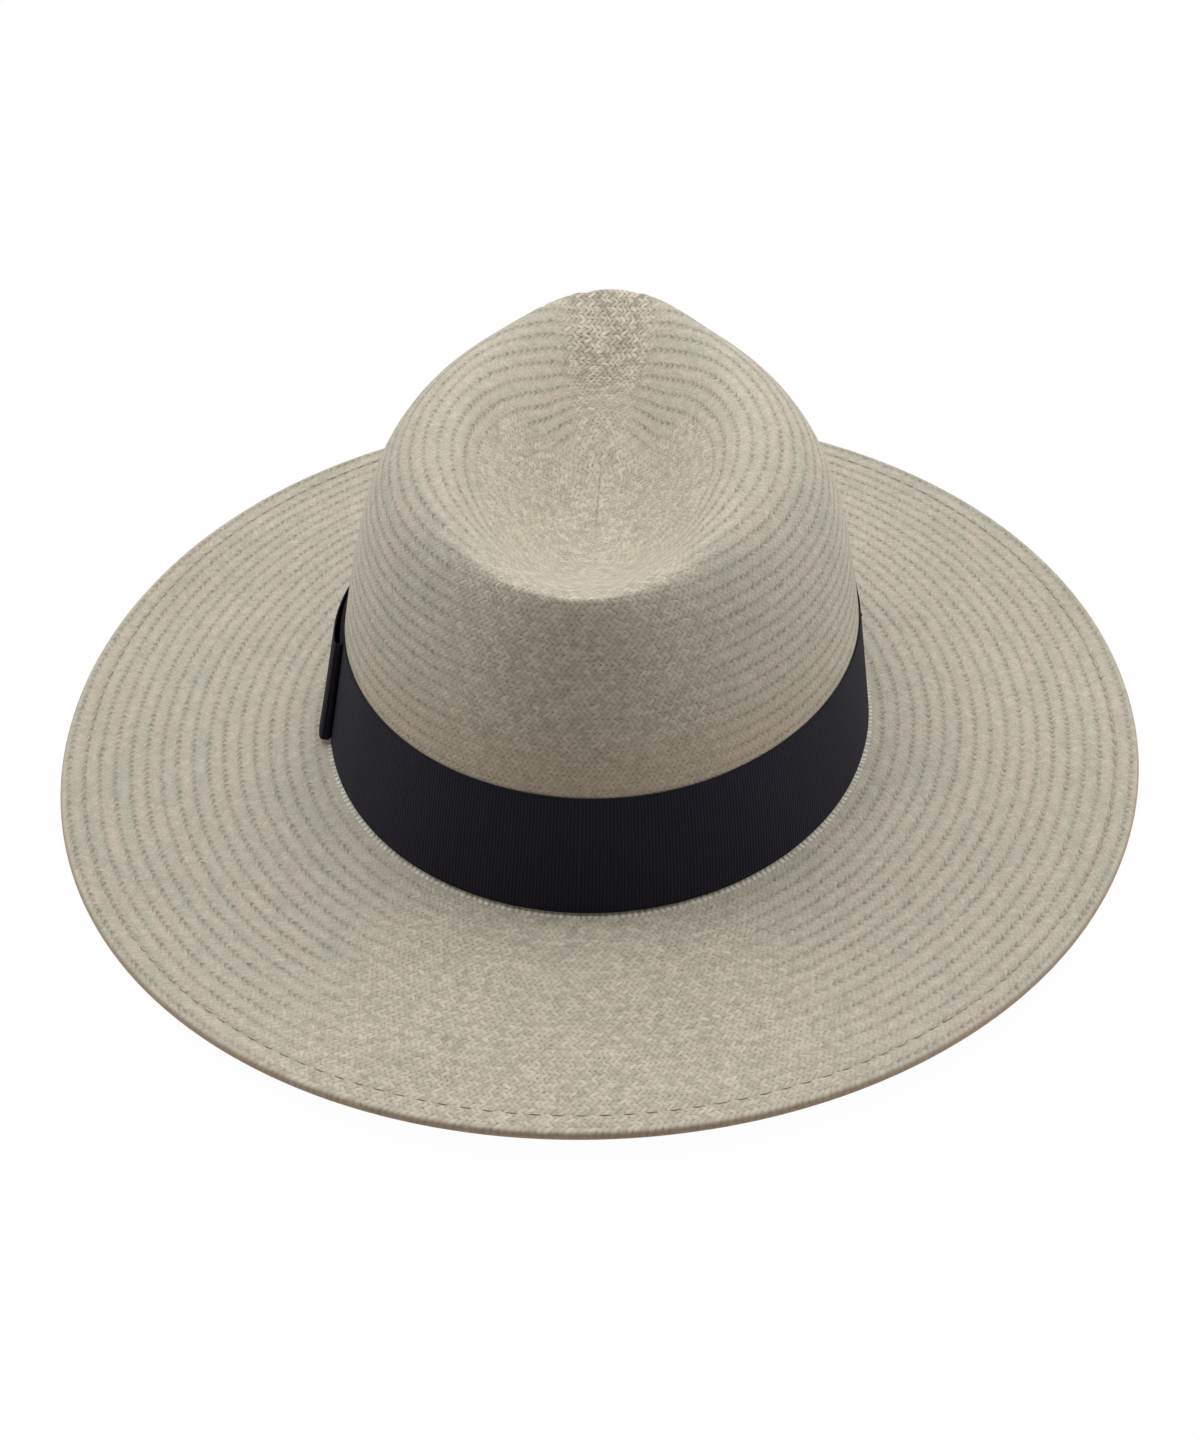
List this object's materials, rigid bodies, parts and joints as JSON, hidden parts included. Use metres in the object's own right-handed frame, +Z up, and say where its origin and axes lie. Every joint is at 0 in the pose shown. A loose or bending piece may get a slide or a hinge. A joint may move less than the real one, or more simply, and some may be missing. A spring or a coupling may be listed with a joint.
{
  "type": "panama hat",
  "caption": "Straw hat with a teardrop crown pinched at the front, a wide flat brim with a folded hem, a dark ribbon band with a flat side bow and an inner sweatband.",
  "frame": {"origin": "on the floor under the middle of the head opening, at the bottom centre of the hat", "axes": "+Z up; +Y to the back of the hat, -Y to the pinched front; +X to the wearer's left, where the bow is"},
  "size_m": [0.345, 0.3944, 0.1182],
  "materials": {
    "straw": "herringbone weave of split straw, matt",
    "ribbon": "ribbed grosgrain, faint sheen",
    "sweatband": "smooth, matt",
    "tape": "woven tape",
    "thread": "cotton thread",
    "dark_thread": "cotton cord",
    "reed": "plain plastic"
  },
  "bodies": {
    "root": {"straw_body": "straw", "brim_reed": "reed", "hem_stitches": "thread", "ribbon_band": "ribbon", "ribbon_tacks": "dark_thread", "bow_rear_wing": "ribbon", "bow_front_wing": "ribbon", "bow_knot": "ribbon", "sweatband": "sweatband", "sweatband_reed": "reed", "sweatband_stitches": "thread", "sweatband_tape": "tape", "sweatband_bow": "dark_thread"}
  },
  "joints": []
}
